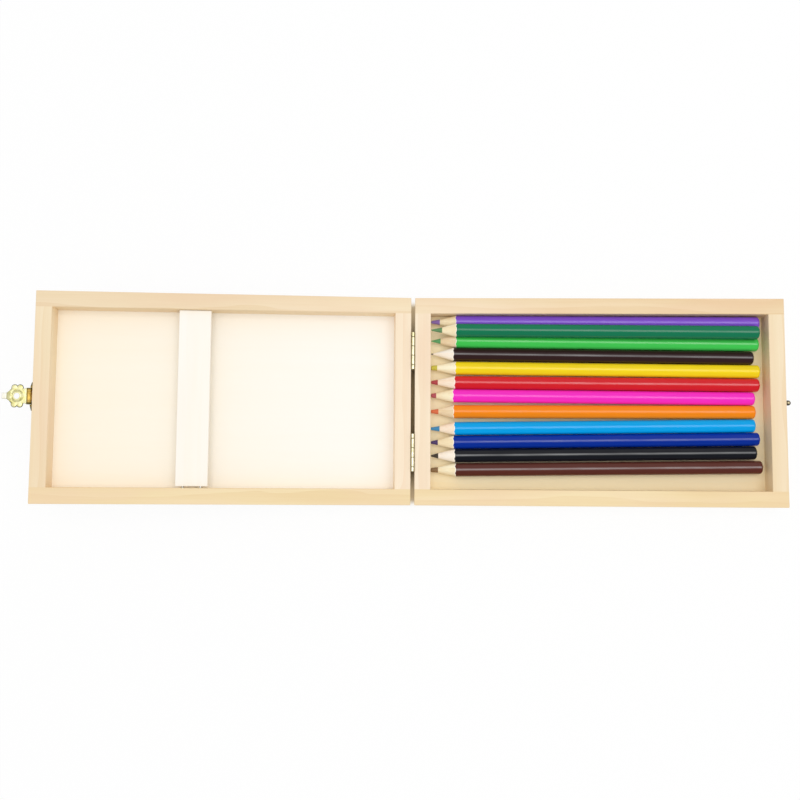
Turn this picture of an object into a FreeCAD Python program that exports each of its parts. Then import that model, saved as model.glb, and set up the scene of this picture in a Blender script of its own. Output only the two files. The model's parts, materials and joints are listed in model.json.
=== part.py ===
"""Hinged wooden pencil box, lying open, with its row of twelve coloured pencils.

The base lies flat and its underside is the plane z = 0, with the origin in its middle.
The lid is to the left (-X), joined to the base by two butt hinges along Y, and its far
edge stands a few degrees above flat, because the nail heads of the hinges meet there.
Lengths are millimetres and angles are degrees.
"""

import FreeCAD, Part
import math
import os

V = FreeCAD.Vector
X, Y, Z = V(1, 0, 0), V(0, 1, 0), V(0, 0, 1)
HALF_TURN = 180
FULL_TURN = 360
ORIGIN = V(0, 0, 0)
SAME = 1e-6  # two lengths closer than this are one

# The two halves of the box, made to the pencils' size: four rails round a panel
tray_end_room = 2.9
tray_side_room = 6.8
rail_thick = 8.4
rail_height = 10.5
panel_thick = 4.0
edge_ease = 0.4

# The hinge line in the gap between the halves
knuckle_radius = 0.95
knuckle_to_wood = 0.05
rim_gap_closed = 0.2
open_tilt = 5.4

# One butt hinge
hinge_length = 20.0
far_hinge_from_middle = 26.6
near_hinge_from_middle = 27.4
leaf_thick = 0.5
leaf_drop = 7.0
leaf_notch_gap = 0.15
knuckle_end_gap = 0.1
knuckle_length_shares = (0.125, 0.25, 0.25, 0.25, 0.125)
hinge_pin_radius = 0.5
pin_running_gap = 0.05
hinge_nail_from_middle = 6.0
hinge_nail_drop = 4.2
hinge_nail_head_radius = 1.2
hinge_nail_shank_radius = 0.55
hinge_nail_in_wood = 6.0
hinge_stop_gap = 0.05
nail_point = 1.2

# The slat across the lid
slat_width = 16.5
slat_thick = 3.0
slat_over_pencil = 0.5
slat_from_latch_end = 81.2
slat_near_gap = 1.0
slat_far_gap = 0.2
slat_ease = 0.3
slat_brad_from_middle = 4.5
slat_brad_radius = 0.6
slat_brad_head_radius = 1.0
slat_brad_head_thick = 0.5
slat_brad_in_slat = 6.0

# The hasp on the lid's free end
hasp_axis_out = 1.75
hasp_axis_below_rim = 1.2
hasp_barrel_radius = 1.35
hasp_barrel_length = 8.4
hasp_middle_knuckle = 4.3
hasp_pin_radius = 0.5
hasp_plate_thick = 0.6
hasp_plate_half_width = 4.2
hasp_plate_top_gap = 1.0
hasp_plate_drop = 7.0
hasp_ear_out = 5.3
hasp_ear_drop = 3.5
hasp_ear_radius = 2.4
hasp_foot_out = 2.6
hasp_foot_radius = 1.8
hasp_nail_head_radius = 1.1
hasp_nail_head_height = 0.55
hasp_nail_shank_radius = 0.5
hasp_nail_in_wood = 6.0

# The hasp's flap: a stamped flower with a hole and a lift tab
flap_thick = 0.5
flap_hole_reach = 5.9
flap_hole_radius = 1.55
flap_disc_radius = 4.6
flap_neck_start = 1.6
flap_neck_half_width = 4.1
flap_waist_reach = 2.5
flap_waist_half_width = 3.1
flap_neck_reach = 3.6
flap_outer_petal_reach = 7.05
flap_inner_petal_reach = 4.3
flap_petal_out = 4.45
flap_petal_radius = 1.5
flap_tip_start = 8.0
flap_tip_start_half_width = 3.8
flap_tip_reach = 11.1
flap_tab_half_width = 1.5
flap_tab_reach = 13.4

# The round-headed stud on the base's free end
stud_shank_radius = 0.9
stud_in_wood = 7.0
stud_neck = 1.1
stud_flare = 0.4
stud_head_radius = 1.35
stud_head_straight = 0.9

# The pencils: hexagonal with well rounded ridges, lying with one ridge up
pencil_flats = 7.0
pencil_ridge_round = 2.0
pencil_lead_radius = 1.45
pencil_lead_out = 4.6
pencil_cone = 8.4
pencil_painted = 162.0
pencil_end_round = 1.3
pencil_end_cap = 0.5
pencil_tip_to_wall = 0.3
pencil_to_floor = 0.05

# Where the row lies: from the far rail towards the near rail
wall_gap_front = 0.1
wall_gap_rear = 0.4
groove_front = 10.37
groove_rear = 11.45
groove_seat_gap = 0.1
row_gap_front_shares = (0.014, 0.063, 0.109, 0.014, 0.216, 0.293, 0.044, 0.015, 0.079)
row_gap_rear_shares = (0.043, 0.029, 0.041, 0.036, 0.017, 0.017, 0.021, 0.026, 0.096)

# Shares of the painted length, the bare lead's length and the wood cone's length, then of the
# lead's radius at its nib and where it leaves the wood
pencil_shares = {
    "violet": (0.999, 1.0, 0.99, 0.5, 1.0),
    "dark_green": (0.987, 1.24, 0.87, 0.25, 1.0),
    "light_green": (0.994, 1.09, 0.965, 0.15, 1.0),
    "aubergine": (0.985, 0.24, 1.27, 0.17, 0.28),
    "yellow": (0.998, 0.7, 1.135, 0.85, 1.0),
    "red": (0.998, 0.78, 1.05, 0.55, 1.0),
    "pink": (0.987, 0.6, 1.04, 0.7, 1.0),
    "orange": (0.986, 0.86, 0.935, 0.6, 1.0),
    "light_blue": (0.982, 1.0, 0.915, 0.5, 1.0),
    "dark_blue": (0.998, 0.8, 0.965, 0.5, 1.0),
    "black": (0.984, 0.85, 1.01, 0.25, 1.0),
    "brown": (0.999, 0.83, 1.07, 0.8, 1.0),
}
nib_flat_share = 0.6  # of the nib's radius, left flat at the very tip
nib_round_share = 0.25  # of the nib's radius, the length of its rounding

# Worked out from the sizes above
pencil_corner = pencil_flats / math.sqrt(3)
pencil_ridge = pencil_corner - pencil_ridge_round * (pencil_corner / (pencil_flats / 2) - 1)
inner_length = pencil_tip_to_wall + pencil_lead_out + pencil_cone + pencil_painted + tray_end_room
row_width = groove_front + pencil_flats * (1 + sum(1 + share for share in row_gap_front_shares))
inner_width = wall_gap_front + row_width + tray_side_room
half_height = panel_thick + rail_height
inner_half_length, inner_half_width = inner_length / 2, inner_width / 2
half_length, half_width = inner_half_length + rail_thick, inner_half_width + rail_thick
half_gap = knuckle_radius + knuckle_to_wood
hinge_x = -half_length - half_gap
hinge_z = half_height + rim_gap_closed / 2
lid_shift = -2 * (half_length + half_gap)
lid_free_x = lid_shift - half_length
hinge_nail_head_height = (
    half_gap - leaf_thick + (hinge_nail_drop * math.sin(math.radians(open_tilt)) - hinge_stop_gap) / 2
)
pencil_low = panel_thick + pencil_to_floor
groove_slope = math.radians(30)
raised_pencil_low = (
    pencil_low
    + (pencil_flats + groove_seat_gap) / math.cos(groove_slope)
    - min(groove_front, groove_rear) / 2 * math.tan(groove_slope)
)
slat_below_rim = raised_pencil_low + 2 * pencil_ridge + slat_over_pencil - half_height - rim_gap_closed


def block(x0, x1, y0, y1, z0, z1):
    """A box between two corners."""
    return Part.makeBox(x1 - x0, y1 - y0, z1 - z0, V(x0, y0, z0))


def rod(start, direction, length, radius):
    """A round bar from a point along a direction."""
    return Part.makeCylinder(radius, length, start, direction)


def prism(points, thick, direction):
    """A flat outline given as 3-D points, thickened along a direction."""
    face = Part.Face(Part.makePolygon(points + points[:1]))
    return face.extrude(direction * thick)


def joined(pieces):
    """One clean solid from pieces that overlap."""
    return pieces[0].multiFuse(pieces[1:]).removeSplitter().Solids[0]


def spun(edges):
    """The solid that an outline in the XZ plane sweeps round the Z axis."""
    return Part.Face(Part.Wire(edges)).revolve(ORIGIN, Z, FULL_TURN)


def line(a, b):
    return Part.LineSegment(a, b).toShape()


def outline(points):
    """Straight edges through points and back to the first."""
    return [line(a, b) for a, b in zip(points, points[1:] + points[:1])]


def dome_edge(radius, height, base_z):
    """The arc of a low dome, from its crown to its rim, in the XZ plane."""
    ball = (radius**2 + height**2) / (2 * height)
    half_angle = math.asin(min(radius / ball, 1)) / 2
    crown_z = base_z + height
    middle = V(ball * math.sin(half_angle), 0, crown_z - ball + ball * math.cos(half_angle))
    return Part.Arc(V(0, 0, crown_z), middle, V(radius, 0, base_z)).toShape()


def domed_nail(head_radius, head_height, shank_radius, shank_length):
    """A nail along Z: the head's underside at z = 0, its dome above and its shank below."""
    points = [
        V(head_radius, 0, 0),
        V(shank_radius, 0, 0),
        V(shank_radius, 0, nail_point - shank_length),
        V(0, 0, -shank_length),
        V(0, 0, head_height),
    ]
    edges = [line(a, b) for a, b in zip(points, points[1:])]
    return spun([dome_edge(head_radius, head_height, 0)] + edges)


def aimed(shape, direction, place):
    """A shape made along Z, turned to a direction and moved to a place."""
    moved = shape.copy()
    moved.Placement = FreeCAD.Placement(place, FreeCAD.Rotation(Z, direction))
    return moved


def turned(shape, centre, axis, angle):
    copy = shape.copy()
    copy.rotate(centre, axis, angle)
    return copy


def moved(shape, shift):
    copy = shape.copy()
    copy.translate(shift)
    return copy


def on_lid(shape):
    """From the lid laid flat in line with the base to the lid at its stop."""
    return turned(shape, V(hinge_x, 0, hinge_z), Y, open_tilt)


def at_ends(edge, test):
    """True where both ends of an edge pass a test."""
    return all(test(vertex.Point) for vertex in edge.Vertexes)


def is_top(point):
    return abs(point.z - half_height) < SAME


def is_underside(point):
    return abs(point.z) < SAME


def is_corner(point):
    return abs(abs(point.x) - half_length) < SAME and abs(abs(point.y) - half_width) < SAME


def runs_along(edge, direction):
    return abs(edge.tangentAt(edge.FirstParameter) * direction) > 1 - SAME


def wooden_half():
    """The rails and the panel of one half, centred on X = 0: the frame is glued, then eased."""
    outer = block(-half_length, half_length, -half_width, half_width, panel_thick, half_height)
    inner = block(
        -inner_half_length, inner_half_length, -inner_half_width, inner_half_width, panel_thick, half_height
    )
    ring = outer.cut(inner)
    eased = [e for e in ring.Edges if at_ends(e, is_top) or at_ends(e, is_corner)]
    ring = ring.makeFillet(edge_ease, eased)

    def cut_out(x0, x1, y0, y1):
        return ring.common(block(x0, x1, y0, y1, panel_thick, half_height)).Solids[0]

    panel = block(-half_length, half_length, -half_width, half_width, 0, panel_thick)
    eased = [e for e in panel.Edges if at_ends(e, is_underside) or at_ends(e, is_corner)]
    return {
        "far": cut_out(-half_length, half_length, inner_half_width, half_width),
        "near": cut_out(-half_length, half_length, -half_width, -inner_half_width),
        "left": cut_out(-half_length, -inner_half_length, -inner_half_width, inner_half_width),
        "right": cut_out(inner_half_length, half_length, -inner_half_width, inner_half_width),
        "panel": panel.makeFillet(edge_ease, eased),
    }


def knuckle_spans():
    """The five stretches of a hinge's barrel along Y, from end to end."""
    spans, start = [], -hinge_length / 2
    for share in knuckle_length_shares:
        end = start + hinge_length * share
        spans.append((start + knuckle_end_gap / 2, end - knuckle_end_gap / 2))
        start = end
    return spans


def hinge_leaf(spans, bore_radius):
    """One leaf round the axis at the origin, its wood face at x = half_gap, hanging down."""
    inside = half_gap - leaf_thick
    notch = knuckle_radius + leaf_notch_gap
    pieces = [block(inside, half_gap, -hinge_length / 2, hinge_length / 2, -leaf_drop, -notch)]
    for start, end in spans:
        pieces.append(block(inside, half_gap, start, end, -leaf_drop, 0))
        pieces.append(rod(V(0, start, 0), Y, end - start, knuckle_radius))
    leaf = joined(pieces)
    leaf = leaf.cut(rod(V(0, -hinge_length / 2, 0), Y, hinge_length, bore_radius))
    return leaf.cut(Part.makeCompound(hinge_nails())).Solids[0]


def hinge_nails():
    """The two nails of a leaf, in the leaf's own place, heads towards the gap."""
    shank_length = leaf_thick + hinge_nail_in_wood
    nail = domed_nail(
        hinge_nail_head_radius, hinge_nail_head_height, hinge_nail_shank_radius, shank_length
    )
    return [
        aimed(nail, -X, V(half_gap - leaf_thick, side * hinge_nail_from_middle, -hinge_nail_drop))
        for side in (-1, 1)
    ]


def hinge_place(shape, on_base, middle_y):
    """From the axis at the origin to a hinge of the box; the lid's leaf faces the other way."""
    own = shape if on_base else turned(shape, ORIGIN, Z, HALF_TURN)
    own = moved(own, V(hinge_x, middle_y, hinge_z))
    return own if on_base else on_lid(own)


def slat_and_brads():
    """The slat across the flat lid, and the brads that hold its ends through the long rails."""
    middle_x = lid_free_x + slat_from_latch_end
    top = half_height - slat_below_rim
    near_end, far_end = -inner_half_width + slat_near_gap, inner_half_width - slat_far_gap
    left, right = middle_x - slat_width / 2, middle_x + slat_width / 2
    slat = block(left, right, near_end, far_end, top - slat_thick, top)
    slat = slat.makeFillet(slat_ease, [e for e in slat.Edges if runs_along(e, Y)])
    brads = []
    for side, end in ((-1, near_end), (1, far_end)):
        length = half_width - abs(end) + slat_brad_in_slat
        for offset in (-slat_brad_from_middle, slat_brad_from_middle):
            start = V(middle_x + offset, side * half_width, top - slat_thick / 2)
            shank = rod(start, Y * -side, length, slat_brad_radius)
            head = rod(start, Y * -side, slat_brad_head_thick, slat_brad_head_radius)
            brads.append(joined([shank, head]))
    return slat.cut(Part.makeCompound(brads)).Solids[0], brads


def hasp_plate_outline():
    """The mounting plate's blanks, standing against the wood, round the hasp's axis."""
    front = hasp_axis_out - hasp_plate_thick

    def disc(y, z, radius):
        return rod(V(front, y, z), X, hasp_plate_thick, radius)

    half_width = hasp_plate_half_width
    pieces = [block(front, hasp_axis_out, -half_width, half_width, -hasp_plate_drop, -hasp_plate_top_gap)]
    for side in (-1, 1):
        pieces.append(disc(side * hasp_ear_out, -hasp_ear_drop, hasp_ear_radius))
        pieces.append(disc(side * hasp_foot_out, -hasp_plate_drop, hasp_foot_radius))
    return pieces


def hasp_plate_and_nails():
    """The plate with its middle knuckle, and its two nails."""
    front = hasp_axis_out - hasp_plate_thick
    half_knuckle = hasp_middle_knuckle / 2 - knuckle_end_gap / 2
    lug = block(0, hasp_axis_out, -half_knuckle, half_knuckle, -hasp_plate_top_gap, 0)
    knuckle = rod(V(0, -half_knuckle, 0), Y, 2 * half_knuckle, hasp_barrel_radius)
    plate = joined(hasp_plate_outline() + [lug, knuckle])
    plate = plate.cut(rod(V(0, -half_knuckle, 0), Y, 2 * half_knuckle, hasp_pin_radius))
    shank_length = hasp_plate_thick + hasp_nail_in_wood
    nail = domed_nail(hasp_nail_head_radius, hasp_nail_head_height, hasp_nail_shank_radius, shank_length)
    nails = [aimed(nail, -X, V(front, side * hasp_ear_out, -hasp_ear_drop)) for side in (-1, 1)]
    return plate.cut(Part.makeCompound(nails)).Solids[0], nails


def hasp_flap():
    """The stamped flap, standing straight out from the lid's end (towards -X)."""
    low, high = hasp_barrel_radius - flap_thick, hasp_barrel_radius
    half_barrel = hasp_barrel_length / 2
    inner_end = hasp_middle_knuckle / 2 + knuckle_end_gap / 2

    def disc(reach, out, radius):
        return rod(V(-reach, out, low), Z, flap_thick, radius)

    def sheet(points):
        return prism([V(-reach, out, low) for reach, out in points], flap_thick, Z)

    neck = [
        (flap_neck_start, -flap_neck_half_width),
        (flap_waist_reach, -flap_waist_half_width),
        (flap_neck_reach, -flap_waist_half_width),
        (flap_neck_reach, flap_waist_half_width),
        (flap_waist_reach, flap_waist_half_width),
        (flap_neck_start, flap_neck_half_width),
    ]
    tip = [
        (flap_tip_start, -flap_tip_start_half_width),
        (flap_tip_reach, -flap_tab_half_width),
        (flap_tip_reach, flap_tab_half_width),
        (flap_tip_start, flap_tip_start_half_width),
    ]
    tab = [
        (flap_tip_start, -flap_tab_half_width),
        (flap_tab_reach, -flap_tab_half_width),
        (flap_tab_reach, flap_tab_half_width),
        (flap_tip_start, flap_tab_half_width),
    ]
    pieces = [disc(flap_hole_reach, 0, flap_disc_radius), sheet(neck), sheet(tip), sheet(tab)]
    for side in (-1, 1):
        for reach in (flap_outer_petal_reach, flap_inner_petal_reach):
            pieces.append(disc(reach, side * flap_petal_out, flap_petal_radius))
        start = inner_end if side > 0 else -half_barrel
        length = half_barrel - inner_end
        pieces.append(rod(V(0, start, 0), Y, length, hasp_barrel_radius))
        pieces.append(block(-flap_neck_start, 0, start, start + length, low, high))
    flap = joined(pieces)
    flap = flap.cut(rod(V(-flap_hole_reach, 0, low), Z, flap_thick, flap_hole_radius))
    bore = rod(V(0, -half_barrel, 0), Y, hasp_barrel_length, hasp_pin_radius + pin_running_gap)
    return flap.cut(bore).Solids[0]


def hasp_place(shape):
    """From the hasp's axis at the origin to the end of the lid."""
    return on_lid(moved(shape, V(lid_free_x - hasp_axis_out, 0, half_height - hasp_axis_below_rim)))


def latch_stud():
    """The stud along Z, the wood's face at z = 0, and a round head on a slimmer neck."""
    flare_top = stud_neck + stud_flare
    ball_z = flare_top + stud_head_straight
    points = [
        V(stud_head_radius, 0, ball_z),
        V(stud_head_radius, 0, flare_top),
        V(stud_shank_radius, 0, stud_neck),
        V(stud_shank_radius, 0, nail_point - stud_in_wood),
        V(0, 0, -stud_in_wood),
        V(0, 0, ball_z + stud_head_radius),
    ]
    edges = [line(a, b) for a, b in zip(points, points[1:])]
    return spun([dome_edge(stud_head_radius, stud_head_radius, ball_z)] + edges)


def pencil(painted_share, lead_out_share, cone_share, nib_share, bare_share):
    """A pencil along Z with its nib at the origin and a ridge towards +X: barrel and lead."""
    lead_out = pencil_lead_out * lead_out_share
    cone = pencil_cone * cone_share
    paint_start = lead_out + cone
    length = paint_start + pencil_painted * painted_share
    bare_radius = pencil_lead_radius * bare_share
    slope = (pencil_flats / 2 - bare_radius) / cone
    hexagon = [
        V(pencil_corner * math.cos(math.radians(a)), pencil_corner * math.sin(math.radians(a)), 0)
        for a in range(0, FULL_TURN, 60)
    ]
    bar = prism(hexagon, length, Z)
    bar = bar.makeFillet(pencil_ridge_round, [e for e in bar.Edges if runs_along(e, Z)])
    turning = outline(
        [
            V(0, 0, lead_out),
            V(bare_radius, 0, lead_out),
            V(pencil_corner, 0, lead_out + (pencil_corner - bare_radius) / slope),
            V(pencil_corner, 0, length - pencil_end_round),
            V(pencil_corner - pencil_end_round, 0, length),
            V(0, 0, length),
        ]
    )
    nib = pencil_lead_radius * nib_share
    lead_end = length - pencil_end_cap
    lead = spun(
        outline(
            [
                ORIGIN,
                V(nib * nib_flat_share, 0, 0),
                V(nib, 0, nib * nib_round_share),
                V(bare_radius, 0, lead_out),
                V(pencil_lead_radius, 0, paint_start),
                V(pencil_lead_radius, 0, lead_end),
                V(0, 0, lead_end),
            ]
        )
    )
    return bar.common(spun(turning)).cut(lead).Solids[0], lead


def pencil_rows():
    """The middle lines of the pencils: their Y at the front and the rear of the paint."""
    front = inner_half_width - wall_gap_front - pencil_flats / 2
    rear = inner_half_width - wall_gap_rear - pencil_flats / 2
    rows = [(front, rear)]
    front, rear = front - groove_front, rear - groove_rear
    rows.append(((rows[0][0] + front) / 2, (rows[0][1] + rear) / 2))
    rows.append((front, rear))
    for front_share, rear_share in zip(row_gap_front_shares, row_gap_rear_shares):
        front -= pencil_flats * (1 + front_share)
        rear -= pencil_flats * (1 + rear_share)
        rows.append((front, rear))
    return rows


def pencils():
    """Barrel and lead of every pencil, laid in the tray with its nib at the hinge end."""
    nib_x = -inner_half_length + pencil_tip_to_wall
    front_x = nib_x + pencil_lead_out + pencil_cone
    rear_x = front_x + pencil_painted
    made = {}
    for (name, shares), (front, rear) in zip(pencil_shares.items(), pencil_rows()):
        low = raised_pencil_low if name == "dark_green" else pencil_low
        along = V(rear_x - front_x, rear - front, 0).normalize()
        across = V(along.y, -along.x, 0)
        nib_y = front - (front_x - nib_x) * along.y / along.x
        ridge_up = FreeCAD.Rotation(Z, across, along, "ZXY")
        place = FreeCAD.Placement(V(nib_x, nib_y, low + pencil_ridge), ridge_up)
        barrel, lead = pencil(*shares)
        for part_name, shape in (("barrel", barrel), ("lead", lead)):
            shape = shape.copy()
            shape.Placement = place
            made["pencil_%s_%s" % (name, part_name)] = shape
    return made


def build():
    """Every piece of the box in its place, by name."""
    half = wooden_half()
    base = dict(half)
    lid = {name: moved(shape, V(lid_shift, 0, 0)) for name, shape in half.items()}
    parts = {}

    spans = knuckle_spans()
    leaves = {
        "base": hinge_leaf(spans[0::2], hinge_pin_radius),
        "lid": hinge_leaf(spans[1::2], hinge_pin_radius + pin_running_gap),
    }
    pin = rod(V(0, -hinge_length / 2, 0), Y, hinge_length, hinge_pin_radius)
    nails = {"base": [], "lid": []}
    for place, middle_y in (("far", far_hinge_from_middle), ("near", -near_hinge_from_middle)):
        parts["hinge_pin_%s" % place] = hinge_place(pin, True, middle_y)
        for owner, leaf in leaves.items():
            on_base = owner == "base"
            parts["%s_hinge_leaf_%s" % (owner, place)] = hinge_place(leaf, on_base, middle_y)
            nails[owner] += [hinge_place(nail, on_base, middle_y) for nail in hinge_nails()]
    for owner in nails:
        parts["%s_hinge_nails" % owner] = Part.makeCompound(nails[owner])

    stud_z = half_height - (flap_hole_reach - hasp_axis_below_rim - rim_gap_closed)
    stud = aimed(latch_stud(), X, V(half_length, 0, stud_z))
    parts["latch_stud"] = stud
    base["left"] = base["left"].cut(parts["base_hinge_nails"]).Solids[0]
    base["right"] = base["right"].cut(stud).Solids[0]

    slat, brads = slat_and_brads()
    brads = Part.makeCompound(brads)
    lid["far"] = lid["far"].cut(brads).Solids[0]
    lid["near"] = lid["near"].cut(brads).Solids[0]
    parts["lid_slat"] = on_lid(slat)
    parts["slat_brads"] = on_lid(brads)

    plate, plate_nails = hasp_plate_and_nails()
    plate_nails = Part.makeCompound(plate_nails)
    parts["hasp_plate"] = hasp_place(plate)
    parts["hasp_nails"] = hasp_place(plate_nails)
    hasp_pin = rod(V(0, -hasp_barrel_length / 2, 0), Y, hasp_barrel_length, hasp_pin_radius)
    parts["hasp_pin"] = hasp_place(hasp_pin)
    parts["hasp_flap"] = hasp_place(hasp_flap())

    lid = {name: on_lid(shape) for name, shape in lid.items()}
    lid["right"] = lid["right"].cut(parts["lid_hinge_nails"]).Solids[0]
    lid["left"] = lid["left"].cut(parts["hasp_nails"]).Solids[0]

    base_names = {"left": "hinge_side", "right": "latch_side"}
    lid_names = {"left": "latch_side", "right": "hinge_side"}
    for owner, wood, names in (("base", base, base_names), ("lid", lid, lid_names)):
        for name, shape in wood.items():
            kind = "panel" if name == "panel" else "rail_%s" % names.get(name, name)
            parts["%s_%s" % (owner, kind)] = shape
    parts.update(pencils())
    return parts


def report(parts):
    """Says what was made, so that a broken solid shows at once."""
    for name, shape in sorted(parts.items()):
        box = shape.BoundBox
        good = "ok" if shape.isValid() and shape.Solids else "BROKEN"
        print("%-28s %2d solids %10.2f mm3 %s" % (name, len(shape.Solids), shape.Volume, good))
    whole = Part.makeCompound(list(parts.values())).BoundBox
    corners = (whole.XMin, whole.XMax, whole.YMin, whole.YMax, whole.ZMin, whole.ZMax)
    print("whole: x %.2f to %.2f, y %.2f to %.2f, z %.2f to %.2f" % corners)


if __name__ == "__main__":
    os.makedirs("parts", exist_ok=True)
    made = build()
    report(made)
    for name, shape in made.items():
        shape.exportStep("parts/%s.step" % name)
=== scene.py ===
# %% [markdown]
# # A wooden pencil box, lying open
# The box is two shallow wooden trays on a pair of brass butt hinges. The right one holds
# twelve hexagonal coloured pencils, and the left one is the lid, with a slat across it and
# a brass hasp on its free end. The solids are already at their real size and place. This
# lesson gives them their finish, and models again what a solid can't show: the pencils'
# dipped paint and sharpened cones, and the stamped brass of the hasp.

# %% Load the solids
import json
import math
import random

import bmesh
import bpy
from mathutils import Matrix, Vector


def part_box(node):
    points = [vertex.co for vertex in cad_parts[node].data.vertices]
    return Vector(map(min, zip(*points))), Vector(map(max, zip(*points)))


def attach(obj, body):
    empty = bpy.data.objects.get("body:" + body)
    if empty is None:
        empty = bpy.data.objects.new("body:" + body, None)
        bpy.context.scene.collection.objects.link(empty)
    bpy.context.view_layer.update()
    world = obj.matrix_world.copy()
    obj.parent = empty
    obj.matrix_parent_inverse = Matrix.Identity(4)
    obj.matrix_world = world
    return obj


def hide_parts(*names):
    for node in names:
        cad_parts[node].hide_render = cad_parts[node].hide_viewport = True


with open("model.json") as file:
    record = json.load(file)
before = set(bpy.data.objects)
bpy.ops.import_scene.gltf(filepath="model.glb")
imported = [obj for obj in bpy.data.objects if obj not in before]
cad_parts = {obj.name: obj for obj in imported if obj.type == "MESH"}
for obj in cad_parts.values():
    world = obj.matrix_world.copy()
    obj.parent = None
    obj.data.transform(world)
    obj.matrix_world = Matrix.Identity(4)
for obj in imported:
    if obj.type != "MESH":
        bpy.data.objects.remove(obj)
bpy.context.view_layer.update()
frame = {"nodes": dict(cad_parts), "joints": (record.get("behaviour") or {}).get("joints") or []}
nodes = frame["nodes"]
joints = {joint["name"]: joint for joint in frame["joints"]}
HINGE = Vector(joints["lid_hinge"]["pos_m"])
OPEN_TILT = math.radians(180 + joints["lid_hinge"]["range_deg"][0])
MM = 0.001
print(len(nodes), "solids, the lid stands", round(math.degrees(OPEN_TILT), 2), "degrees above flat")

# %% [markdown]
# ## The camera
# The picture is taken from almost straight above, from a little nearer the viewer's side.
# The lens follows from the perspective of the two trays: their far ends shrink only a
# little, so the camera stands about half a metre up with a slightly long lens. The place
# is measured from the hinge line, which is the middle of the open box.

# %% Camera
CAMERA_FROM_HINGE = Vector((3.09, -38.33, 474.07)) * MM
CAMERA_TURN_DEG = (4.664, 1.163, 0.355)
CLIP_NEAR, CLIP_FAR = 0.01, 20
PICTURE_SIDE_PX = 800
FOCAL_PX = 900
SENSOR_MM = 36


def add_object(name, data):
    """A new object, linked to the scene."""
    item = bpy.data.objects.new(name, data)
    bpy.context.scene.collection.objects.link(item)
    return item


camera_data = bpy.data.cameras.new("camera")
camera_data.sensor_width = SENSOR_MM
camera_data.lens = FOCAL_PX * SENSOR_MM / PICTURE_SIDE_PX
camera_data.clip_start, camera_data.clip_end = CLIP_NEAR, CLIP_FAR
camera = add_object("camera", camera_data)
camera.location = HINGE + CAMERA_FROM_HINGE
camera.rotation_euler = [math.radians(angle) for angle in CAMERA_TURN_DEG]
bpy.context.scene.camera = camera
print("lens", round(camera_data.lens, 1), "mm")

# %% [markdown]
# ## Light and floor
# The real picture has one broad soft light overhead and a floor that is washed out to
# white. A large lamp, a little to the right and towards the far side, gives the thin
# highlight along every pencil's ridge, and an even world fills the shadows. The floor is
# made white for the camera by mixing in a plain emission where Light Path says that a ray
# comes from the camera or a mirror. It lights nothing, and under the box it fades away.
# There the floor's own colour turns to a painted brown shade and the emission to a painted
# warm glow, which stand for the light off the wood. The narrow gap between the trays is
# where that shows: a share of the white glow reaches into both its ends as painted light,
# so it is pale at both ends and darkens towards the hinges. Under the lid the floor turns
# white again, because the lid can be closed and leave it bare.

# %% World, lamp and floor
WHITE = (1, 1, 1, 1)
LAMP_SIZES = (1.6, 1.0)
LAMP_FROM_HINGE = Vector((0.33, 0.14, 1.6))
LAMP_WATTS = 8.5
FILL_STRENGTH = 0.76
FLOOR_SIDE = 6.0
FLOOR_ROUGHNESS = 0.9
FLOOR_WHITENING = 0.9
FLOOR_TONE = (0.96, 0.96, 0.96, 1)
# Painted brown shade for the floor under the box, and a painted warm glow in its emission
GAP_PAINTED_SHADE, GAP_PAINTED_GLOW = (0.68, 0.56, 0.33, 1), (1, 0.8, 0.52, 1)
SHADOW_INSET, SHADOW_REACH = 4 * MM, 5.5 * MM
# Painted light that reaches into both ends of the gap between the trays
CREEP_INSET, CREEP_REACH, CREEP_SHARE, CREEP_NEARER = 20 * MM, 14 * MM, 0.24, 1 * MM
LID_START, LID_FADE, LID_SHARE = 5 * MM, 15 * MM, 0.3


def feed(tree, socket, value):
    """Links a socket to another one, or sets its value."""
    if isinstance(value, bpy.types.NodeSocket):
        tree.links.new(value, socket)
    else:
        socket.default_value = value


def put(tree, kind, inputs=None, **settings):
    """Adds a shader node with its settings, and feeds its inputs."""
    node = tree.nodes.new("ShaderNode" + kind)
    for key, value in settings.items():
        setattr(node, key, value)
    for key, value in (inputs or {}).items():
        feed(tree, node.inputs[key], value)
    return node


def maths(tree, operation, first, second=0.0, **settings):
    """The number that comes out of a sum."""
    return put(tree, "Math", {0: first, 1: second}, operation=operation, **settings).outputs[0]


def vector_maths(tree, operation, first, second=(0, 0, 0)):
    """The vector that comes out of a sum."""
    return put(tree, "VectorMath", {0: first, 1: second}, operation=operation).outputs[0]


def ramp(tree, value, low, high, start=0.0, end=1.0, **settings):
    """A number that runs from start to end while a value goes from low to high."""
    inputs = {"Value": value, "From Min": low, "From Max": high, "To Min": start, "To Max": end}
    return put(tree, "MapRange", inputs, **settings).outputs["Result"]


def tinted(tree, share, first, second, mode="MIX"):
    """The colour between two colours."""
    node = put(tree, "Mix", {0: share, 6: first, 7: second}, data_type="RGBA", blend_type=mode)
    return node.outputs[2]


def plus_share(tree, first, second, share):
    """A number plus a share of another one."""
    return maths(tree, "ADD", first, maths(tree, "MULTIPLY", second, share))


def object_space(tree):
    """Where a point lies on its own object."""
    return put(tree, "TexCoord").outputs["Object"]


def new_material(name):
    """A material, its node tree and its surface shader."""
    material = bpy.data.materials.new(name)
    material.use_nodes = True
    return material, material.node_tree, material.node_tree.nodes["Principled BSDF"]


def mesh_object(name, bm, materials):
    """Ends a bmesh as an object with its materials."""
    mesh = bpy.data.meshes.new(name)
    bm.to_mesh(mesh)
    bm.free()
    for material in materials:
        mesh.materials.append(material)
    return add_object(name, mesh)


def seen_directly(tree):
    """1 for the rays that show a background: from the camera, a mirror or glass."""
    path = put(tree, "LightPath").outputs
    either = maths(tree, "MAXIMUM", path["Is Camera Ray"], path["Is Glossy Ray"])
    return maths(tree, "MAXIMUM", either, path["Is Transmission Ray"])


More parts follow.
